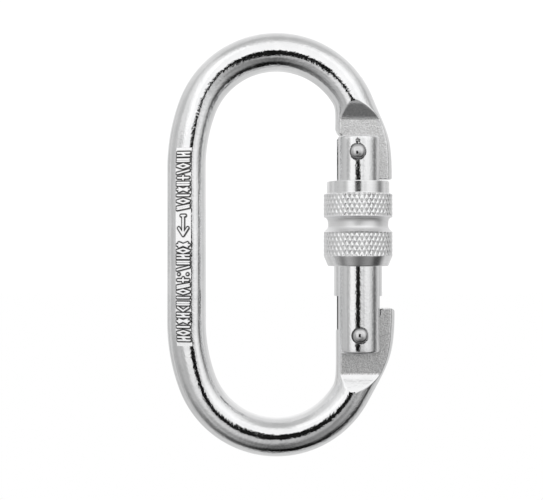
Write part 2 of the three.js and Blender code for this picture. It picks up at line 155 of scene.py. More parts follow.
def surface(name, points, close_rows=False, values=None):
    """A closed surface from a grid of points in millimetres, of shape (rows, columns, 3).

    A fourth number at each point, if there is one, is kept as an attribute with the name in values."""
    rows, cols = points.shape[:2]
    faces = grid_faces(rows, cols, close_rows=close_rows)
    mesh = bpy.data.meshes.new(name)
    mesh.vertices.add(rows * cols)
    mesh.vertices.foreach_set("co", (points[..., :3] * MM).astype(np.float32).ravel())
    mesh.loops.add(faces.size)
    mesh.loops.foreach_set("vertex_index", faces.astype(np.int32).ravel())
    mesh.polygons.add(len(faces))
    mesh.polygons.foreach_set("loop_start", np.arange(0, faces.size, 4, dtype=np.int32))
    mesh.update(calc_edges=True)
    if values:
        kept = mesh.attributes.new(values, "FLOAT", "POINT")
        kept.data.foreach_set("value", points[..., 3].astype(np.float32).ravel())
    return weld(placed(name, mesh))


def capped(points):
    """Closes an open tube of points with a single middle point at each end."""
    tips = [np.broadcast_to(row.mean(axis=0), (1, *points.shape[1:])) for row in (points[0], points[-1])]
    return np.concatenate([tips[0], points, tips[1]])


def smooth(obj, crease=22):
    """Shades the piece smoothly and keeps every edge sharper than the crease angle."""
    obj.data.polygons.foreach_set("use_smooth", np.ones(len(obj.data.polygons), bool))
    obj.data.set_sharp_from_angle(angle=math.radians(crease))
    print(f"{obj.name}: {sum(len(face.vertices) - 2 for face in obj.data.polygons)} triangles")
    return obj


# %% Helpers for lines drawn in the front view
def arc(center, radius, start, end, count):
    """Points of an arc; angles in degrees, measured from +X towards +Z."""
    turn = np.radians(np.linspace(start, end, count))
    return np.asarray(center, float) + radius * together(np.cos(turn), np.sin(turn))


def bezier(*handles, count=24):
    """A Bezier curve of any order: each point is the handles weighted by the binomial terms of t."""
    t = np.linspace(0, 1, count)[:, None]
    order = len(handles) - 1
    return sum(math.comb(order, i) * t**i * (1 - t) ** (order - i) * np.asarray(handle, float)
               for i, handle in enumerate(handles))


def smooth_min(a, b, width):
    """The smaller of two numbers, with the corner between them rounded over the given width."""
    near = np.maximum(width - np.abs(a - b), 0) / width
    return np.minimum(a, b) - near**2 * width / 4


# %% [markdown]
# ## The bar
#
# The real frame starts as a round bar. It is bent into an oval, and then a press squeezes both ends flat.
# It could be a curve with a round bevel, but its ends widen as they are pressed, so one fixed section won't
# do. Here two edge lines are drawn instead, the inside and the outside of the bar in the front view. Each
# pair of points across them carries an ellipse as wide as the pair is apart and as deep as the bar.

# %% The bar's two edges
INNER_LEAVES = 32  # where the inner edge leaves the bend, in degrees


def end_edge(side, radius, leaves, tip, leaving, arriving):
    """From the bend at an angle to the tip, upright: a cubic curve with one handle at each end."""
    turn = math.radians(leaves)
    start = np.array([radius * math.cos(turn), MIDDLE_Z + side * (BEND_RISE + radius * math.sin(turn))])
    along = np.array([math.sin(turn), -side * math.cos(turn)])
    return bezier(start, start + leaving * along, tip + np.array([0, side * arriving]), tip, count=150)


def half_loop(side, outer_leaves, inner_x, tip, leaving, arriving):
    """Tip, pressed end, bend and flank as far as the spine, in pairs of points [inside, outside]."""
    bend_center = np.array([0, MIDDLE_Z + side * BEND_RISE])
    turn = math.radians(FLANK_TURN)
    flank_center = bend_center + (FLANK - BEND) * np.array([math.cos(turn), -side * math.sin(turn)])
    flank = 180 - FLANK_TURN

    def edge(out, leaves, end):
        bend = arc(bend_center, BEND + out, side * leaves, side * flank, 90)
        easy = arc(flank_center, FLANK + out, side * flank, side * 180, 20)
        return np.concatenate([end[::-1], bend[1:], easy[1:]])

    inner_end = end_edge(side, BEND - BAR, INNER_LEAVES, np.array([inner_x, tip[1]]), 2.5, 17)
    outer_end = end_edge(side, BEND + BAR, outer_leaves, tip, leaving, arriving)
    return np.stack([edge(-BAR, INNER_LEAVES, inner_end), edge(BAR, outer_leaves, outer_end)], axis=1)


nose_half = half_loop(1, 22, NOSE_INSIDE, NOSE_TIP, 10, 12)
heel_half = half_loop(-1, 28, HEEL_INSIDE, HEEL_TIP, 11, 13)
spine_steps = np.linspace(0, 1, 24)[1:-1, None, None]
spine_run = nose_half[-1] * (1 - spine_steps) + heel_half[-1] * spine_steps
bar_edges = np.concatenate([nose_half, spine_run, heel_half[::-1]])
print("pairs along the bar:", len(bar_edges))

# %% [markdown]
# The press is a pair of flat dies with a ramp at one side. Its mark on the bar is a limit on the depth: the
# same all over a cheek, and then climbing along the ramp until the bar is round again. Where the limit meets
# the ellipse the steel has a soft shoulder, about a third of a millimetre wide. The columns of the grid are
# moved so that they crowd along that shoulder, because an edge that cuts across them would look ragged.

# %% How deep the press lets the bar be
SHOULDER = 0.35
QUARTER = np.concatenate([np.linspace(0, 27, 8), np.linspace(29, 38, 8), np.linspace(41, 90, 13)])
EDGE_COLUMN = 33.0  # the column that follows the shoulder
HIGHEST_MEETING = 76.0  # its furthest place, in degrees
NEAR_PRESS = 14  # rings over which the columns ease back to even
PRESS_X = 9.0  # the dies squeeze only what lies beyond this
LEAN = 0.2  # how far the spine's crest leans inwards, over the half width
LEAN_X, LEAN_FADE = -13.0, 9.0  # where it starts, and how far it takes to grow


def depth_limit(x, z):
    """Half the thickness allowed: the cheek's, then u (0.6 + 1.5 u - 1.1 u squared) of the way to the bar's.

    u is the way along the ramp. The ramp starts at an angle, steepens, and rolls over at the top."""
    u = np.maximum(np.maximum(z - NOSE_CHEEK_Z, HEEL_CHEEK_Z - z), 0) / RAMP_LENGTH
    climb = np.where(u < 1, u * (0.6 + 1.5 * u - 1.1 * u**2), u)
    return np.where(x > PRESS_X, CHEEK + climb * (BAR - CHEEK), 2 * BAR)


def crowded_columns(middle, half):
    """Angles of a quarter of each section, stretched so that one column lies where ellipse and limit meet."""
    turn = np.linspace(0, 90, 361)
    line = middle[:, None] + half[:, None] * np.cos(np.radians(turn))[None, :, None]
    over = BAR * np.sin(np.radians(turn)) > depth_limit(line[..., 0], line[..., 1])
    pressed = over.any(axis=1)
    ring = np.arange(len(middle))
    meets = np.minimum(turn[over.argmax(axis=1)], HIGHEST_MEETING)
    near = np.array([np.abs(ring[pressed] - r).min() for r in ring])
    known = pressed | (near > NEAR_PRESS)
    meets = np.interp(ring, ring[known], np.where(pressed, meets, EDGE_COLUMN)[known])[:, None]
    below = QUARTER * meets / EDGE_COLUMN
    above = meets + (QUARTER - EDGE_COLUMN) * (90 - meets) / (90 - EDGE_COLUMN)
    return np.radians(np.where(QUARTER < EDGE_COLUMN, below, above))


# %% The pressed bar
def pressed_bar(edges):
    """Middle of a pair, plus half its width times cos t, and the bar's radius times sin t held to the limit.

    The spine leans: its crest is moved inwards by LEAN times the half width times sin squared t."""
    middle, half = edges.mean(axis=1), (edges[:, 1] - edges[:, 0]) / 2
    outer, inner = crowded_columns(middle, half), crowded_columns(middle, -half)
    across = np.concatenate([np.cos(outer), -np.cos(inner)[:, -2::-1], -np.cos(inner)[:, 1:],
                             np.cos(outer)[:, -2:0:-1]], axis=1)
    rise = np.concatenate([np.sin(outer), np.sin(inner)[:, -2::-1], -np.sin(inner)[:, 1:],
                           -np.sin(outer)[:, -2:0:-1]], axis=1)
    lean = LEAN * np.clip((LEAN_X - middle[:, 0]) / LEAN_FADE, 0, 1) ** 2
    across = across - lean[:, None] * rise**2
    line = middle[:, None] + half[:, None] * across[..., None]
    limit = depth_limit(line[..., 0], line[..., 1])
    depth = smooth_min(BAR * np.abs(rise), limit, np.clip(0.6 * (BAR - limit), 0.02, SHOULDER))
    return together(line[..., 0], np.sign(rise) * depth, line[..., 1])


frame_bar = surface("frame_bar", capped(pressed_bar(bar_edges)))
print("frame_bar:", len(frame_bar.data.vertices), "points")

# %% [markdown]
# The hooked tongue, the notch, the heel's cam and the hinge eye are sawn right through from front to back.
# Those edges are crisp and follow no line of the grid, so they are cut with Booleans. Each cutter is an
# outline carried through the steel, and it swells a little where it breaks the surface. The swell leaves a
# small chamfer on every sawn edge, as a file would.

# %% Cutters and cutting
def swollen(outline, amount):
    """The outline moved outwards along its own normals, which are its tangents turned by a right angle."""
    tangent = np.roll(outline, -1, axis=0) - np.roll(outline, 1, axis=0)
    normal = together(tangent[:, 1], -tangent[:, 0])
    return outline + amount * normal / np.maximum(np.linalg.norm(normal, axis=1, keepdims=True), 1e-9)


def through(name, outline, half, chamfer=0.0, reach=9.0, along="y", middle=0.0):
    """A block carried through the work from -reach to reach, swelling by the chamfer where it surfaces."""
    outline = np.asarray(outline, float)
    depths = [-reach, -half, chamfer - half, half - chamfer, half, reach] if chamfer else [-reach, reach]
    swells = [chamfer, chamfer, 0, 0, chamfer, chamfer] if chamfer else [0, 0]
    layers = []
    for depth, swell in zip(depths, swells):
        flat = swollen(outline, swell)
        a, b, level = flat[:, 0], flat[:, 1], depth + middle
        layers.append(together(a, level, b) if along == "y" else together(level, a, b))
    count = len(outline)
    sides = grid_faces(len(layers), count).tolist()
    last = (len(layers) - 1) * count
    caps = [list(range(count)), list(range(last + count - 1, last - 1, -1))]
    mesh = bpy.data.meshes.new(name)
    mesh.from_pydata((np.concatenate(layers) * MM).tolist(), [], sides + caps)
    return weld(placed(name, mesh))


def cut(obj, *cutters):
    """Takes the cutters out of the piece, one Boolean modifier each, and keeps the result as its mesh."""
    for cutter in cutters:
        step = obj.modifiers.new("cut", "BOOLEAN")
        step.operation, step.solver, step.object = "DIFFERENCE", "EXACT", cutter
    shape = obj.evaluated_get(bpy.context.evaluated_depsgraph_get())
    done = bpy.data.meshes.new_from_object(shape)
    obj.modifiers.clear()
    obj.data = done
    for cutter in cutters:
        bpy.data.objects.remove(cutter)
    return weld(obj)


def box_outline(low, high):
    """Four corners of an upright rectangle, anticlockwise."""
    return np.array([low, (high[0], low[1]), high, (low[0], high[1])], float)


def circle(center, radius):
    """Forty-eight points round a circle, for holes and seats."""
    return arc(center, radius, 0, 360, 49)[:-1]


# %% The nose's outline
HAIR = 0.03  # each cut ends a hair inside the bar's end, so no two flats lie in one plane


def nose_outline():
    """What is missing inside the nose: round the lip's end, up the hooked tongue, and into the notch."""
    clear = NOSE_INSIDE - 5
    tip_x, tip_z = NOSE_TIP + [0, HAIR]
    hook_x = LATCH[0] - 2 * PIN_R
    tongue_x = hook_x - 0.25
    notch_top, notch_floor = LATCH[1] + PIN_R + 0.4, LATCH[1] - PIN_R - 0.8
    notch_r = (notch_top - notch_floor) / 2
    notch_center = (LATCH[0] + PIN_R + 0.35 - notch_r, notch_floor + notch_r)
    hook_top = notch_floor + 0.3
    corner = 0.6
    return np.concatenate([
        [(clear, GATE_TOP + 3), (clear, tip_z - 4), (tip_x + 2, tip_z - 4), (tip_x + 2, tip_z + corner)],
        arc((tip_x - corner, tip_z + corner), corner, 0, -90, 8),
        bezier((tip_x - LIP, tip_z), (tip_x - LIP - 2.5, tip_z + 0.5), (tongue_x + 2.8, tip_z + 1.6), count=10),
        bezier((tongue_x + 2.8, tip_z + 1.6), (tongue_x, notch_floor - 3.2), (tongue_x, notch_floor - 1))[1:],
        bezier((tongue_x, notch_floor - 1), (tongue_x, hook_top), (tongue_x + 0.6, hook_top), count=10)[1:],
        [(hook_x + 0.9, hook_top), (hook_x + 1.3, notch_floor)],
        arc(notch_center, notch_r, -90, 90, 30),
        [(hook_x + 0.8, notch_top)],
        bezier((hook_x + 0.8, notch_top), (tongue_x, notch_top + 0.2), (tongue_x - 0.3, GATE_TOP + 0.2))[1:],
        bezier((tongue_x - 0.3, GATE_TOP + 0.2), (NOSE_INSIDE + 0.2, GATE_TOP + 1),
               (NOSE_INSIDE - 0.1, GATE_TOP + 3))[1:],
    ])


# %% The heel's outline
def heel_outline():
    """What is missing above the heel: over the shoulder, the cam, and round the top of the outer hook."""
    clear, shoulder, shoulder_r = HEEL_INSIDE - 5, GATE_FOOT + 6, 0.45
    cam_x, cam_z, edge = HINGE[0] - 3, HINGE[1] + 3.5, 0.3
    tip_x, tip_z = HEEL_TIP - [0, HAIR]
    hook_x = tip_x - LIP - 1
    inner_corner, outer_corner = 0.4, 1.2
    return np.concatenate([
        [(clear, shoulder)],
        arc((HEEL_INSIDE + shoulder_r, shoulder - shoulder_r), shoulder_r, 160, 90, 8),
        bezier((cam_x - 3 * edge, shoulder), (cam_x, shoulder), (cam_x, cam_z - edge), count=12),
        bezier((cam_x, cam_z - edge), (cam_x, cam_z), (cam_x + edge, cam_z), count=8)[1:],
        [(HINGE[0] + 2.1, cam_z)],
        bezier((HINGE[0] + 2.1, cam_z), (hook_x, cam_z), (hook_x, tip_z - 1), count=18)[1:],
        arc((hook_x + inner_corner, tip_z - inner_corner), inner_corner, 180, 90, 6),
        arc((tip_x - outer_corner, tip_z - outer_corner), outer_corner, 90, 0, 12),
        [(tip_x + 2, tip_z - outer_corner), (tip_x + 2, tip_z + 2), (clear, tip_z + 2)],
    ])


# %% [markdown]
# Down the front of the spine the press makes a narrow flat band for the marks, turned a little outwards. It
# is a straight line between two points of the spine's section, so it meets the round bar cleanly. The cutter
# and the panel of marks use the same function for it, so they can't come apart.

# %% The marking band, a flat along the spine
BAND_MIDDLE, BAND_HALF = MIDDLE_Z - 0.6, 25.4
BAND_TURN = np.radians([51.5, 96.0])  # where its outer and inner edges leave the round bar


def section(turn):
    """The spine's own section about its middle: x = lean r sin squared t - r cos t, y = -r sin t."""
    return np.array([LEAN * BAR * np.sin(turn) ** 2 - BAR * np.cos(turn), -BAR * np.sin(turn)])


BAND_EDGES = section(BAND_TURN[0]), section(BAND_TURN[1])
BAND_WIDTH = np.linalg.norm(BAND_EDGES[1] - BAND_EDGES[0])
BAND_ACROSS = (BAND_EDGES[1] - BAND_EDGES[0]) / BAND_WIDTH
BAND_OUT = np.array([BAND_ACROSS[1], -BAND_ACROSS[0]])


def band_skin(height, z, share, foot_shade=0.0):
    """A point on the straight line between the band's edges, raised along the band's normal.

    Above and below the straight run the band follows the flank's arc."""
    over = np.maximum(np.abs(z - MIDDLE_Z) - (BEND_RISE - (FLANK - BEND) * math.sin(math.radians(FLANK_TURN))), 0)
    swing = FLANK - np.sqrt(FLANK**2 - over**2)
    x = SPINE_X + swing + BAND_EDGES[0][0] + share * BAND_WIDTH * BAND_ACROSS[0] + height * BAND_OUT[0]
    y = BAND_EDGES[0][1] + share * BAND_WIDTH * BAND_ACROSS[1] + height * BAND_OUT[1]
    return together(x, y, z, foot_shade)


def band_block(name, z, share, front_height, back_height, foot_shade=0.0):
    """A closed block over the band: the front at one height, the back at another."""
    front, back = band_skin(front_height, z, share, foot_shade), band_skin(back_height, z, share)
    return surface(name, capped(np.concatenate([front, back[:, ::-1]], axis=1)), values="foot_shade")


print(f"band {BAND_WIDTH:.2f} mm wide")

# %% Saw out the nose, the heel and the eye, and press the band
SAW_CHAMFER, EYE_GAP = 0.2, 0.2
press_z = BAND_MIDDLE + np.linspace(BAND_HALF, -BAND_HALF, 41)[:, None]
press_share = np.linspace(-0.1, 1.1, 3)[None, :]  # a little past both edges of the band
cut(frame_bar,
    band_block("band_press", press_z, press_share, 1.5, 0),
    through("nose_gap", nose_outline(), CHEEK, chamfer=SAW_CHAMFER),
    through("heel_gap", heel_outline(), CHEEK, chamfer=SAW_CHAMFER),
    through("eye", circle(HINGE, PIN_R + EYE_GAP), 0))
smooth(frame_bar, crease=14)

# %% [markdown]
# A pressed face is duller than the bar beside it. Each face is given a number, one or nought, from where it
# lies and which way it looks, and the bar's material reads that number.

# %% Find the faces of the pressed cheeks
def tell_faces(obj, attribute, away, tolerance, region):
    """Sets the attribute to one on faces of the region that look along Y, this far away from y = 0."""
    count = len(obj.data.polygons)
    centers, normals = np.empty(count * 3, np.float32), np.empty(count * 3, np.float32)
    obj.data.polygons.foreach_get("center", centers)
    obj.data.polygons.foreach_get("normal", normals)
    centers, normals = centers.reshape(-1, 3) / MM, normals.reshape(-1, 3)
    chosen = (np.abs(np.abs(centers[:, 1]) - away) < tolerance) & (np.abs(normals[:, 1]) > 0.9) & region(centers)
    kept = obj.data.attributes.new(attribute, "FLOAT", "FACE")
    kept.data.foreach_set("value", chosen.astype(np.float32))
    print(f"{attribute} faces of {obj.name}: {int(chosen.sum())}")


tell_faces(frame_bar, "pressed", CHEEK, 0.12, lambda centers: centers[:, 0] > PRESS_X)

# %% [markdown]
# ## The raised marks
#
# The marks stand up out of the band. They are worked out as a height at each point of a fine grid. Each mark
# is a few straight strokes, and a stroke's height falls off with the distance to its line, so strokes that
# meet run together like cast metal. The same distance says where shade is painted at the strokes' feet. The
# marks are plain signs of no meaning: bars, slashes, dots, diamonds, crosses and one long arrow.

# %% The strokes of each mark
SIGNS = {
    "bar": [(0.5, 0, 0.5, 1)],
    "pair": [(0.25, 0, 0.25, 1), (0.8, 0, 0.8, 1)],
    "slash": [(0.1, 0, 0.9, 1)],
    "double_slash": [(0, 0, 0.6, 1), (0.5, 0, 1.1, 1)],
    "diamond": [(0, 0.5, 0.5, 1), (0.5, 1, 1, 0.5), (1, 0.5, 0.5, 0), (0.5, 0, 0, 0.5)],
    "dots": [(0.5, 0.12, 0.5, 0.14), (0.5, 0.86, 0.5, 0.88)],
    "cross": [(0, 0.5, 1, 0.5), (0.5, 0.05, 0.5, 0.95)],
    "star": [(0.05, 0.15, 0.95, 0.85), (0.05, 0.85, 0.95, 0.15), (0.5, 0, 0.5, 1)],
    "gate": [(0.1, 0, 0.1, 1), (0.9, 0, 0.9, 1), (0.1, 0.7, 0.9, 0.3)],
    "fork": [(0, 0.05, 0.9, 0.5), (0, 0.95, 0.9, 0.5)],
}
UPPER_SIGNS = "gate pair diamond slash cross pair star bar diamond double_slash".split()
LOWER_SIGNS = ("star diamond gate pair slash dots cross double_slash diamond bar "
               "pair fork gate star bar diamond gate").split()
SIGN_STEP, SIGN_LENGTH, SIGN_HALF = 1.5, 1.0, 1.6


def strokes_from(signs, start):
    """Ends of all strokes as rows (along, across, along, across) in millimetres from the band's top."""
    size = np.tile([SIGN_LENGTH, 2 * SIGN_HALF], 2)
    return np.concatenate([np.array(SIGNS[sign]) * size + np.tile([start + i * SIGN_STEP, -SIGN_HALF], 2)
                           for i, sign in enumerate(signs)])


ARROW = np.array([(17.4, 0, 22.2, 0), (20.6, -1.2, 22.4, 0), (20.6, 1.2, 22.4, 0), (17.4, -0.5, 17.4, 0.5)])
strokes = np.concatenate([strokes_from(UPPER_SIGNS, 1.2), ARROW, strokes_from(LOWER_SIGNS, 24.4)])
print("strokes:", len(strokes))

# %% The marks as a height over the band
STROKE_HALF, MARK_HEIGHT, FOOT_SHADE_REACH = 0.31, 0.3, 0.4
PANEL_LIFT, PANEL_SEAT = 0.02, -0.3  # its face over the band, and its back under it
PANEL_ROWS, PANEL_COLS = 620, 52
FAR = 9.0  # further than any stroke matters


def stroke_distance(along, across):
    """Distance to the nearest stroke: to the foot of the perpendicular, or to the stroke's nearer end."""
    here = together(along, across)
    nearest = np.full(here.shape[:2], FAR)
    for stroke in strokes:
        start, run = stroke[:2], stroke[2:] - stroke[:2]
        t = np.clip(((here - start) @ run) / max(run @ run, 1e-9), 0, 1)
        nearest = np.minimum(nearest, np.linalg.norm(here - start - t[..., None] * run, axis=-1))
    return nearest


def mark_height(distance):
    """Twice the height times (1 minus the square of distance over half width), cut off flat at the height."""
    return MARK_HEIGHT * np.clip(2 - 2 * (distance / STROKE_HALF) ** 2, 0, 1)


def mark_foot_shade(distance):
    """How much painted shade lies here: none on top of a stroke, all at its foot, none again a little way off."""
    rising, falling = (distance / STROKE_HALF - 0.75) / 0.25, (STROKE_HALF + FOOT_SHADE_REACH - distance) / 0.25
    return np.clip(np.minimum(rising, falling), 0, 1)


along = np.linspace(0.05, 2 * BAND_HALF - 0.05, PANEL_ROWS)[:, None]
mark_share = np.linspace(0.004, 0.996, PANEL_COLS)[None, :]
distance = stroke_distance(along, (0.5 - mark_share) * BAND_WIDTH)
spine_marks = band_block("spine_marks", BAND_MIDDLE + BAND_HALF - along, mark_share,
                         mark_height(distance) + PANEL_LIFT, PANEL_SEAT, mark_foot_shade(distance))
smooth(spine_marks, crease=50)

# %% [markdown]
# ## Turned work
#
# The gate, the nut, the pins and the plunger all come off a lathe. A turned piece is a profile of radius
# and height carried round an axis: its points are (r cos t, r sin t, z). The Screw modifier could do it, but
# working out the grid leaves room to change the radius from place to place, which the knurl and the screw
# thread need.

# %% Turning helpers
def profile_line(*points, corner):
    """A profile through the points, with each inner corner replaced by a small curve of that size.

    One more point on each side of the curve keeps the straight runs looking straight."""
    points = np.asarray(points, float)
    line = [points[:1]]
    for before, here, after in zip(points[:-2], points[1:-1], points[2:]):
        back, ahead = before - here, after - here
        size = min(corner, 0.35 * np.linalg.norm(back), 0.35 * np.linalg.norm(ahead))
        start = here + size * back / np.linalg.norm(back)
        end = here + size * ahead / np.linalg.norm(ahead)
        line += [start[None] + 0.3 * (start - here), bezier(start, here, end, count=5),
                 end[None] + 0.3 * (end - here)]
    return np.concatenate([*line, points[-1:]])


def turned(profile, sides, wave=None):
    """Grid of the profile turned about the upright axis; wave(turn, z) is taken off each radius."""
    radius, z = np.asarray(profile, float).T
    turn = np.linspace(0, 2 * math.pi, sides, endpoint=False)[None, :]
    radius, z = radius[:, None], z[:, None]
    if wave is not None:
        radius = radius - wave(turn, z)
    return together(radius * np.cos(turn), radius * np.sin(turn), z)


def ramped(low, high, fade, z):
    """One between two heights and nought outside them, with a straight fade inside each end."""
    return np.clip(np.minimum(z - low, high - z) / fade, 0, 1)


# %% [markdown]
# The gate is a plain round bar with a fork milled in each end, a blind bore for the spring, and a screw
# thread under the nut. The thread only shows when the nut is run down: its depth is a triangle wave of the
# height less the turn, so the groove climbs by one pitch in each turn. Forks, bore, pin holes and the shallow
# seats of the pins' heads are sawn out afterwards.

# %% The gate
PITCH, THREAD_DEPTH = 1.25, 0.5
THREAD_TOP, THREAD_FOOT = GATE_TOP - 14.3, GATE_TOP - 32
UPPER_SLOT, LOWER_SLOT = GATE_TOP - 13.5, GATE_FOOT + 14.7  # how deep each fork is milled
SLOT_CHAMFER, HOLE_GAP = 0.1, 0.1
SPRING_HOLE_R, SPRING_HOLE = 2.7, (GATE_FOOT + 13.7, GATE_FOOT + 35)
SEAT_DEPTH, SEAT_GAP, SEAT_REACH = 0.45, 0.2, 3  # of the seats of the heads


def thread(turn, z):
    """Depth times a triangle wave of z over the pitch less the share of a turn, faded at both ends."""
    phase = (z / PITCH - turn / (2 * math.pi)) % 1
    valley = np.clip(1.25 - 2.5 * np.abs(2 * phase - 1), 0, 1)
    return THREAD_DEPTH * valley * ramped(THREAD_FOOT, THREAD_TOP, 0.8, z)


def gate_profile():
    """Foot, rounded end, side with rows close together in the thread, rounded end and top."""
    edge, t = 0.7, np.linspace(0, np.pi / 2, 8)
    end = together(GATE_R - edge + edge * np.cos(t), GATE_TOP - edge + edge * np.sin(t))
    foot = end[::-1] * [1, -1] + [0, GATE_TOP + GATE_FOOT]
    rows = np.concatenate([np.linspace(GATE_FOOT + 1.5, THREAD_FOOT - 0.5, 20),
                           np.linspace(THREAD_FOOT, THREAD_TOP, 200),
                           np.linspace(THREAD_TOP + 0.5, GATE_TOP - 1.5, 12)])
    return np.concatenate([[(0, GATE_FOOT)], foot, together(GATE_R, rows), end, [(0, GATE_TOP)]])


def slot(name, low, high):
    """A fork's slot, sawn across the gate, with chamfers where it breaks the outside."""
    outline = box_outline((-FORK, low), (FORK, high))
    reach = math.sqrt(GATE_R**2 - FORK**2)
    return through(name, outline, reach, chamfer=SLOT_CHAMFER, along="x", middle=GATE_X)


gate_points = turned(gate_profile(), 128, thread) + [GATE_X, 0, 0]
gate_tube = surface("gate_tube", gate_points)
hole_foot, hole_top = SPRING_HOLE
bore_profile = [(0, hole_foot), (SPRING_HOLE_R, hole_foot), (SPRING_HOLE_R, hole_top), (0, hole_top)]
spring_bore = surface("spring_bore", turned(bore_profile, 48) + [GATE_X, 0, 0])
pin_holes = [through(f"pin_hole_{i}", circle(center, PIN_R + HOLE_GAP), 0)
             for i, center in enumerate((LATCH, HINGE))]
seats = [through(f"seat_{i}_{face}", circle(center, HEAD_R + SEAT_GAP), 0, reach=SEAT_REACH,
                 middle=face * (GATE_R - SEAT_DEPTH + SEAT_REACH))
         for i, center in enumerate((LATCH, HINGE)) for face in (-1, 1)]
cut(gate_tube, slot("upper_fork", UPPER_SLOT, GATE_TOP + 2), slot("lower_fork", GATE_FOOT - 2, LOWER_SLOT),
    spring_bore, *pin_holes, *seats)
smooth(gate_tube)
# the walls inside the lower fork: milled dull, and painted dark as shade in the gate's material
tell_faces(gate_tube, "milled_and_shaded", FORK, 0.05, lambda centers: centers[:, 2] < LOWER_SLOT + 0.3)

# %% [markdown]
# Each rivet is one pin through both prongs of the fork, hammered into a dome at each end. The dome is a
# little flat on top, as a riveting tool leaves it.

# %% The rivets
HEAD_EDGE, DOME_RISE = 0.225, 1.5


def rivet(name, center):
    """Pin, head and dome: the dome's radius follows cos t and its height sin t to the power 0.85."""
    seat = GATE_R - 0.35
    t = np.linspace(0, np.pi / 2, 16)
    dome = together(HEAD_R * np.cos(t), seat + HEAD_EDGE + DOME_RISE * np.sin(t) ** 0.85)
    dome[-1, 0] = 0
    upper = np.concatenate([[(PIN_R, seat), (HEAD_R - 0.05, seat), (HEAD_R, seat + 0.05)], dome])
    lower = upper[::-1] * [1, -1]
    points = turned(np.concatenate([lower, upper]), 48)
    laid = together(points[..., 0] + center[0], points[..., 2], points[..., 1] + center[1])
    return smooth(surface(name, laid), crease=40)


latch_pin = rivet("latch_pin", LATCH)
hinge_pin = rivet("hinge_pin", HINGE)

# %% [markdown]
# ## The locking nut
#
# The nut has a plain collar, two knurled bands with a waist between them, and a tapered skirt. A knurl is
# two sets of slanting grooves that cross, and what is left between them are small diamonds with flat tops. A
# bump map would fake them, but the outline would stay smooth, so here the grooves really go into the radius.
# Columns and rows are set so that each diamond gets nine by eighteen cells. The waist meets each band in a
# small hollow curve, a cove.

# %% The knurl
GROOVES, GROOVE_RISE, KNURL_DEPTH, CUT_SHARE = 43, 2.38, 0.22, 0.72
CELLS = 9
TOP, FOOT = sleeve_high[2], sleeve_low[2]
BORE_R = GATE_R + 0.15
KNURL_R = BORE_R + 2.55
UPPER_BAND = (TOP - 3.2 - 5.9, TOP - 3.2)
LOWER_BAND = (FOOT + 2.6, FOOT + 2.6 + 6.2)
NECK_TOP, NECK_FOOT = UPPER_BAND[0] - 1.7, LOWER_BAND[1] + 1.6  # the waist between the coves
UPPER_COVE, LOWER_COVE = 1.5, 1.6  # height of each cove


def knurl(turn, z):
    """Depth times how near the closer groove is; grooves run where turn/pitch plus or minus z/rise is whole.

    A groove takes up CUT_SHARE of the way to its neighbour, and the crest between grooves stays flat."""
    round_share, rise_share = GROOVES * turn / (2 * math.pi), z / GROOVE_RISE
    away = [1 - np.abs(2 * ((round_share + sign * rise_share) % 1) - 1) for sign in (1, -1)]
    band = ramped(*UPPER_BAND, 0.2, z) + ramped(*LOWER_BAND, 0.2, z)
    return KNURL_DEPTH * (1 - np.clip(np.minimum(*away) / CUT_SHARE, 0, 1)) * band


def band_rows(band):
    """Rows down one knurled band, from its top to its foot, close enough for the diamonds."""
    count = int(round((band[1] - band[0]) / GROOVE_RISE * 2 * CELLS)) + 1
    return together(KNURL_R, np.linspace(band[1], band[0], count))


def sleeve_profile():
    """Collar, upper band, waist between two coves, lower band, skirt, and back up the bore."""
    collar, waist, skirt = BORE_R + 1.75, BORE_R + 1.45, BORE_R + 1.45
    step = UPPER_BAND[1]
    t, rim, mouth = np.linspace(0, np.pi / 2, 9), KNURL_R - 0.2, 0.3
    upper_cove = together(rim - (rim - waist) * np.sin(t), NECK_TOP + UPPER_COVE * np.cos(t))
    lower_cove = together(KNURL_R - (KNURL_R - waist) * np.cos(t), NECK_FOOT - LOWER_COVE * t / (np.pi / 2))
    return np.concatenate([
        profile_line((BORE_R, TOP - 1), (BORE_R, TOP - mouth), (BORE_R + mouth, TOP), (collar, TOP),
                     (collar, step + 0.02), (KNURL_R - 0.25, step + 0.02), (KNURL_R, step - 0.2), corner=0.22),
        band_rows(UPPER_BAND)[2:],
        [(KNURL_R - 0.1, UPPER_BAND[0] - 0.1)],
        upper_cove,
        lower_cove[:-1],
        band_rows(LOWER_BAND),
        profile_line((KNURL_R - 0.04, LOWER_BAND[0] - 0.1), (KNURL_R - 0.08, LOWER_BAND[0] - 0.2),
                     (skirt, FOOT), (BORE_R + mouth, FOOT), (BORE_R, FOOT + mouth), (BORE_R, FOOT + 1), corner=0.2),
        together(BORE_R, np.linspace(FOOT + 2, TOP - 2, 6)),
    ])


sleeve_points = turned(sleeve_profile(), GROOVES * CELLS, knurl) + [GATE_X, 0, 0]
knurled_sleeve = smooth(surface("knurled_sleeve", sleeve_points, close_rows=True), crease=35)

# %% [markdown]
# ## The plunger and its spring
#
# Inside the gate a spring pushes a plunger onto the heel, and that is what shuts the gate. The spring is a
# round wire carried along a helix.

# %% The plunger
PLUNGER_R, PLUNGER_LENGTH, STEM_R = 2.4, 12.4, 1.2  # the spring sits on the step and round the stem
tip, end = plunger_low[2], plunger_high[2]
step = tip + PLUNGER_LENGTH
plunger_profile = profile_line((0, tip), (PLUNGER_R, tip), (PLUNGER_R, step), (STEM_R, step), (STEM_R, end),
                               (0, end), corner=0.25)
steel_plunger = smooth(surface("steel_plunger", turned(plunger_profile, 48) + [GATE_X, 0, 0]), crease=40)

# %% The spring
WIRE, COIL, TURNS = 0.35, 2.0, 9


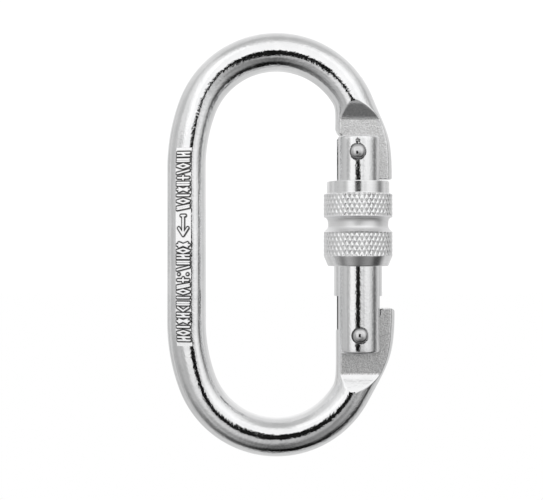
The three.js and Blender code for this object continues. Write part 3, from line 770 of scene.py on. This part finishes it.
def coil_points(low, high):
    """Helix (R cos a, R sin a, z) with a ring of the wire's radius round it, across and along the axis."""
    share = np.linspace(0, 1, TURNS * 40 + 1)[:, None]
    angle, ring = 2 * np.pi * TURNS * share, np.linspace(0, 2 * np.pi, 12, endpoint=False)[None, :]
    radius = COIL + WIRE * np.cos(ring)
    z = low + (high - low) * share + WIRE * np.sin(ring)
    return together(radius * np.cos(angle) + GATE_X, radius * np.sin(angle), z)


coil_spring = smooth(surface("coil_spring", capped(coil_points(spring_low[2] + WIRE, spring_high[2] - WIRE))))

# %% [markdown]
# ## Finishes
#
# The frame and the gate are steel, polished and zinc plated, so nearly all of their look is what they
# reflect. What makes it read as real metal is how the reflection wobbles. So each bump is built from noises
# of several sizes, such as slow waves left by bending, handling marks, and fine grain. All of them read
# Object coordinates, which for these pieces are metres from the anchor's bearing point.

# %% Node helpers
def feed(tree, node, values):
    """Gives numbers, colours or other nodes' outputs to a node, by the name or number of its input."""
    for key, value in values.items():
        if isinstance(value, bpy.types.NodeSocket):
            tree.links.new(value, node.inputs[key])
        else:
            node.inputs[key].default_value = value


def add(tree, kind, values=(), **settings):
    """Adds a shader node and feeds it."""
    made = tree.nodes.new(kind)
    for name, value in settings.items():
        setattr(made, name, value)
    feed(tree, made, dict(values))
    return made


def new_metal(name, color, roughness, *pieces):
    """Coats pieces with a new metal; returns its tree, its shader and an output of Object coordinates."""
    material = bpy.data.materials.new(name)
    material.use_nodes = True
    tree = material.node_tree
    shader = tree.nodes["Principled BSDF"]
    feed(tree, shader, {"Base Color": (*color, 1), "Metallic": 1, "Roughness": roughness})
    for piece in pieces:
        piece.data.materials.clear()
        piece.data.materials.append(material)
    print(name, "on", [piece.name for piece in pieces])
    return tree, shader, add(tree, "ShaderNodeTexCoord").outputs["Object"]


def noise(tree, where, scale, detail, stretch=None):
    """A cloudy pattern; stretch multiplies the coordinates, so a small number draws it out that way."""
    if stretch is not None:
        where = add(tree, "ShaderNodeMapping", {"Vector": where, "Scale": stretch}).outputs[0]
    return add(tree, "ShaderNodeTexNoise", {"Vector": where, "Scale": scale, "Detail": detail}).outputs["Fac"]


def ranged(tree, value, start, end, low=0.0, high=1.0):
    """Low where the value is at start, high where it is at end, in a straight line between and held beyond."""
    return add(tree, "ShaderNodeMapRange", {"Value": value, "From Min": start, "From Max": end,
                                            "To Min": low, "To Max": high}).outputs[0]


def spread(tree, factor, low, high):
    """The pattern's middle range carried to the numbers low and high."""
    return ranged(tree, factor, 0.3, 0.7, low, high)


def part_of(tree, where, axis):
    """One of a point's three coordinates."""
    return add(tree, "ShaderNodeSeparateXYZ", {"Vector": where}).outputs[axis]


def told(tree, attribute):
    """The number that the mesh keeps under this name."""
    return add(tree, "ShaderNodeAttribute", attribute_name=attribute).outputs["Fac"]


def bumps(tree, shader, layers):
    """Chains bump nodes, each (height pattern, depth in metres), into the shader's normal."""
    normal = None
    for height, depth in layers:
        values = {"Height": height, "Distance": depth, "Strength": 1.0}
        if normal is not None:
            values["Normal"] = normal
        normal = add(tree, "ShaderNodeBump", values).outputs[0]
    tree.links.new(normal, shader.inputs["Normal"])


def mixed(tree, factor, first, second, kind="FLOAT"):
    """First where the factor is nought and second where it is one."""
    first_in, second_in, out = {"FLOAT": (2, 3, 0), "RGBA": (6, 7, 2)}[kind]
    node = add(tree, "ShaderNodeMix", {"Factor": factor}, data_type=kind)
    feed(tree, node, {first_in: first, second_in: second})
    return node.outputs[out]


def tinted(tree, pattern, dark, pale):
    """A colour that follows the pattern from dark to pale."""
    return mixed(tree, spread(tree, pattern, 0, 1), dark, pale, "RGBA")


def math_node(tree, operation, *values):
    """One arithmetic node on numbers or other nodes' outputs."""
    return add(tree, "ShaderNodeMath", dict(enumerate(values)), operation=operation).outputs[0]


# %% Zinc-plated steel of the bar
tree, shader, where = new_metal("zinc_plated_bar", (0.88, 0.885, 0.89), 0.1, frame_bar)
cheek = told(tree, "pressed")
cloud = noise(tree, where, 260, 3)
pits = noise(tree, where, 2900, 2)
steel_tone = tinted(tree, cloud, (0.86, 0.865, 0.87, 1), (0.92, 0.92, 0.925, 1))
cheek_height = ranged(tree, part_of(tree, where, "Z"), -0.034, -0.022)  # the cheeks are paler towards the top
cheek_pale = mixed(tree, cheek_height, (0.97, 0.97, 0.97, 1), (0.98, 0.98, 0.98, 1), "RGBA")
cheek_deep = mixed(tree, cheek_height, (0.52, 0.52, 0.52, 1), (0.66, 0.66, 0.66, 1), "RGBA")
feed(tree, shader, {
    "Base Color": mixed(tree, cheek, steel_tone, tinted(tree, pits, cheek_deep, cheek_pale), "RGBA"),
    "Roughness": mixed(tree, cheek, spread(tree, cloud, 0.04, 0.09), spread(tree, pits, 0.44, 0.3))})
bumps(tree, shader, [
    (noise(tree, where, 120, 1), 0.00012),  # waves left by bending
    (noise(tree, where, 650, 2), 0.00005),  # handling marks
    (noise(tree, where, 1300, 3, (0.04, 1, 0.04)), 0.00007),  # lines along the bar
    (pits, mixed(tree, cheek, 0.000006, 0.00006)),
    (noise(tree, where, 1900, 3), 0.00003)])  # grain

# %% [markdown]
# Shade is painted near black at the feet of the marks. The grid keeps how much each point has.

# %% Plated marks with painted shade at their feet
tree, shader, where = new_metal("plated_marks", (0.92, 0.92, 0.925), 0.12, spine_marks)
foot_shade, grit = told(tree, "foot_shade"), noise(tree, where, 2600, 2)
# painted shade: near black at the feet of the strokes, mottled by the grit noise
foot_shade_tone = tinted(tree, grit, (0.005, 0.005, 0.005, 1), (0.09, 0.09, 0.09, 1))
feed(tree, shader, {"Base Color": mixed(tree, foot_shade, (0.93, 0.93, 0.935, 1), foot_shade_tone, "RGBA"),
                    "Roughness": mixed(tree, foot_shade, spread(tree, grit, 0.1, 0.18), 0.4)})
bumps(tree, shader, [(grit, 0.00003)])

# %% [markdown]
# The gate is cut from drawn bar, so its noise is stretched along the axis into streaks. Inside the lower fork
# the steel is dull from the cutter, and its walls are painted dark as shade.

# %% Drawn steel of the gate
tree, shader, where = new_metal("drawn_gate_steel", (0.88, 0.885, 0.89), 0.1, gate_tube)
milled_shaded_faces, streaks = told(tree, "milled_and_shaded"), noise(tree, where, 1400, 3, (1, 1, 0.04))
tone = tinted(tree, streaks, (0.84, 0.845, 0.85, 1), (0.92, 0.92, 0.925, 1))
# painted shade: the walls inside the lower fork are painted near black
fork_painted_shade = tinted(tree, streaks, (0.12, 0.12, 0.12, 1), (0.3, 0.3, 0.3, 1))
feed(tree, shader, {"Base Color": mixed(tree, milled_shaded_faces, tone, fork_painted_shade, "RGBA"),
                    "Roughness": mixed(tree, milled_shaded_faces, spread(tree, streaks, 0.06, 0.12), 0.5)})
bumps(tree, shader, [(noise(tree, where, 160, 1, (1, 1, 0.4)), 0.00006), (noise(tree, where, 1500, 3), 0.00004),
                     (streaks, 0.000012)])

# %% [markdown]
# A lathe leaves fine rings round the nut: a noise squeezed flat along the axis. Fingers polish the knurl and
# the collar but not the waist, which stays duller.

# %% Bright turned alloy of the nut
tree, shader, where = new_metal("turned_sleeve_alloy", (0.92, 0.92, 0.925), 0.15, knurled_sleeve)
rings = noise(tree, where, 9000, 2, (0.01, 0.01, 1))
waist_z, waist_half = (UPPER_BAND[0] + LOWER_BAND[1]) / 2 * MM, (UPPER_BAND[0] - LOWER_BAND[1]) / 2 * MM
from_waist = math_node(tree, "ABSOLUTE", math_node(tree, "SUBTRACT", part_of(tree, where, "Z"), waist_z))
in_waist = ranged(tree, from_waist, waist_half, waist_half - 0.2 * MM)
feed(tree, shader, {
    "Base Color": tinted(tree, rings, (0.88, 0.88, 0.885, 1), (0.95, 0.95, 0.955, 1)),
    "Roughness": mixed(tree, in_waist, spread(tree, noise(tree, where, 400, 3), 0.16, 0.24), 0.42)})
bumps(tree, shader, [(rings, 0.000004), (noise(tree, where, 2500, 2), 0.000004)])

# %% [markdown]
# The pins have the dents of a hammer, and shade is painted dark where each head meets the gate. The distance
# from the middle plane tells that rim from the dome and the shaft.

# %% Hammered pins, and the plunger and wire
tree, shader, where = new_metal("hammered_pin_steel", (0.5, 0.5, 0.505), 0.16, latch_pin, hinge_pin, steel_plunger)
dents = noise(tree, where, 700, 2)
depth = math_node(tree, "ABSOLUTE", part_of(tree, where, "Y"))
over_rim = ranged(tree, depth, (GATE_R + 0.4) * MM, (GATE_R + 0.85) * MM)
under_rim = ranged(tree, depth, (GATE_R - 0.6) * MM, (GATE_R - 1.2) * MM)
clear_of_rim_shade = math_node(tree, "MAXIMUM", over_rim, under_rim)
# painted shade: near black round each head where it meets the gate
feed(tree, shader, {"Base Color": mixed(tree, clear_of_rim_shade, (0.04, 0.04, 0.04, 1), (0.66, 0.66, 0.665, 1), "RGBA"),
                    "Roughness": spread(tree, dents, 0.07, 0.15)})
bumps(tree, shader, [(dents, 0.00005)])

tree, shader, where = new_metal("spring_wire", (0.5, 0.5, 0.52), 0.28, coil_spring)
scale_marks = noise(tree, where, 1800, 3)
feed(tree, shader, {"Roughness": spread(tree, scale_marks, 0.22, 0.38)})
bumps(tree, shader, [(scale_marks, 0.00001)])

# %% [markdown]
# ## Which body carries what
#
# Each piece rides on the body that the engineering model gives it, and all but the marks stand in for one of
# its nodes. The spring is put on no body; it stays where it is and stands in for the spring node.

# %% Put the pieces on their bodies
CARRIED = [
    (frame_bar, "frame", "frame", "zinc_steel"),
    (spine_marks, "frame", None, "zinc_steel"),
    (gate_tube, "gate", "gate_body", "gate_steel"),
    (latch_pin, "gate", "latch_rivet", "rivet_steel"),
    (hinge_pin, "gate", "hinge_rivet", "rivet_steel"),
    (knurled_sleeve, "sleeve", "locking_sleeve", "sleeve_alloy"),
    (steel_plunger, "plunger", "gate_plunger", "plunger_steel"),
]
for piece, body, node, slot_name in CARRIED:
    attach(piece, body)
    if node:
        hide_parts(node)
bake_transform(coil_spring)
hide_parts("gate_spring")
print("pieces:", len(CARRIED) + 1)

# %% [markdown]
# ## The studio
#
# Polished steel is a mirror, so lighting it means choosing what it sees. The studio is a white tent with
# gaps in it. Eight ramps describe it, one for each side seen from the front: right, up, left, down and the
# four between. Each says how bright the tent is from straight ahead, round past the side, to straight behind.
# The camera itself is the dark line down the middle of every bar, and a dark card at its place gives it.

# %% The tent
def ramp(tree, angle, low, high, stops):
    """A ramp of grey over an angle in degrees; stops are pairs of (degrees, brightness)."""
    node = add(tree, "ShaderNodeValToRGB", {"Fac": ranged(tree, angle, low, high)})
    elements = node.color_ramp.elements
    for i, (degrees, grey) in enumerate(stops):
        place = (degrees - low) / (high - low)
        element = elements[i] if i < 2 else elements.new(place)
        element.position = place
        element.color = (grey, grey, grey, 1)
    return node.outputs["Color"]


SIDES = {  # roll of each side of the tent about the line from front to back, and its brightness along it
    0: [(0, 0.9), (17, 0.8), (22, 0.55), (28, 0.85), (45, 0.9), (54, 0.75), (64, 0.62), (74, 0.28), (82, 0.12),
        (90, 0.3), (98, 0.5), (110, 0.7), (122, 0.55), (150, 0.7)],
    45: [(0, 1.0), (56, 0.95), (70, 0.75), (90, 0.52), (108, 0.66), (125, 0.75), (160, 0.9)],
    90: [(0, 1.0), (50, 0.95), (60, 0.72), (72, 0.52), (84, 0.46), (96, 0.56), (110, 0.72), (126, 0.75),
         (160, 0.95)],
    135: [(0, 1.0), (46, 0.95), (60, 0.7), (76, 0.52), (84, 0.52), (96, 0.7), (120, 0.7), (150, 0.9)],
    180: [(0, 1.0), (38, 0.98), (46, 0.55), (54, 0.38), (62, 0.56), (75, 0.56), (92, 0.45), (104, 0.6),
          (114, 0.65), (124, 0.42), (140, 0.7)],
    225: [(0, 0.55), (28, 0.7), (44, 0.4), (56, 0.5), (66, 0.3), (74, 0.15), (82, 0.18), (90, 0.36), (98, 0.5),
          (110, 0.6), (140, 0.58)],
    270: [(0, 0.5), (28, 0.48), (36, 0.28), (46, 0.09), (57, 0.14), (65, 0.05), (69, 0.0), (89, 0.0), (94, 0.15),
          (98, 0.4), (104, 0.62), (134, 0.65), (150, 0.75)],
    315: [(0, 0.3), (22, 0.4), (33, 0.2), (40, 0.26), (50, 0.36), (64, 0.22), (71, 0.02), (90, 0.02), (100, 0.35),
          (114, 0.65), (136, 0.62), (150, 0.7)],
}

world = bpy.data.worlds.new("tent")
bpy.context.scene.world = world
world.use_nodes = True
tree = world.node_tree
toward = add(tree, "ShaderNodeTexCoord").outputs["Generated"]
front_ward = math_node(tree, "MULTIPLY", part_of(tree, toward, "Y"), -1.0)
from_front = math_node(tree, "DEGREES", math_node(tree, "ARCCOSINE", front_ward))
up_over_right = math_node(tree, "ARCTAN2", part_of(tree, toward, "Z"), part_of(tree, toward, "X"))
roll = math_node(tree, "DEGREES", up_over_right)
tent = 0.0
for side, stops in SIDES.items():
    turned_away = math_node(tree, "WRAP", math_node(tree, "SUBTRACT", roll, side), 180, -180)
    share = ranged(tree, math_node(tree, "ABSOLUTE", turned_away), 45.0, 0.0)
    tent = math_node(tree, "MULTIPLY_ADD", ramp(tree, from_front, 0, 180, stops), share, tent)
seen = add(tree, "ShaderNodeLightPath").outputs["Is Camera Ray"]
feed(tree, tree.nodes["Background"], {"Color": mixed(tree, seen, tent, 1.0), "Strength": 1.06})
print("sides of the tent:", len(SIDES))

# %% The floor and the dark card
def plain_material(name, kind, color):
    """A one-colour stage material."""
    material = bpy.data.materials.new(name)
    material.use_nodes = True
    tree = material.node_tree
    tree.nodes.clear()
    shader = add(tree, kind, {"Color": (*color, 1)})
    output = add(tree, "ShaderNodeOutputMaterial")
    tree.links.new(shader.outputs[0], output.inputs["Surface"])
    return material


def card(name, corners_mm, material):
    """A flat four-cornered stage card."""
    mesh = bpy.data.meshes.new(name)
    mesh.from_pydata((np.array(corners_mm, float) * MM).tolist(), [], [(0, 1, 2, 3)])
    mesh.materials.append(material)
    obj = placed(name, mesh)
    return obj


wide, floor_z = 1500, frame_low[2] - 12
floor = card("floor", [(-wide, -wide, floor_z), (wide, -wide, floor_z), (wide, wide, floor_z),
                       (-wide, wide, floor_z)], plain_material("white_floor", "ShaderNodeEmission", (1, 1, 1)))
floor.visible_glossy = floor.visible_diffuse = floor.visible_shadow = False
dark = plain_material("dark_card", "ShaderNodeBsdfDiffuse", (0.01, 0.01, 0.01))
lens_y, lens_outline = -320, box_outline((-66, -150), (60, 30))
lens = card("lens_card", [(x, lens_y, z) for x, z in lens_outline], dark)
lens.visible_camera = lens.visible_diffuse = lens.visible_shadow = False

# %% Lights and camera
def soft_light(name, place, size, power):
    """A large square lamp that faces the middle of the object."""
    lamp = bpy.data.lights.new(name, "AREA")
    lamp.size, lamp.energy = size, power
    obj = bpy.data.objects.new(name, lamp)
    bpy.context.scene.collection.objects.link(obj)
    place = np.array(place, float)
    aim = np.array([0, 0, MIDDLE_Z * MM]) - place
    obj.location = place
    obj.rotation_euler = (math.acos(-aim[2] / np.linalg.norm(aim)), 0, math.atan2(aim[1], aim[0]) - math.pi / 2)


soft_light("upper_left_light", (-0.6, -0.5, 0.5), 0.8, 0.3)
soft_light("upper_right_light", (0.6, -0.4, 0.45), 0.8, 0.2)

camera = bpy.data.cameras.new("camera")
camera.lens, camera.sensor_width = 76.5, 36
camera_object = bpy.data.objects.new("camera", camera)
camera_object.location = (-0.0013, -0.3, -0.0464)
camera_object.rotation_euler = (math.pi / 2, 0, 0)
bpy.context.scene.collection.objects.link(camera_object)
bpy.context.scene.camera = camera_object
bpy.context.scene.view_settings.view_transform = "Standard"
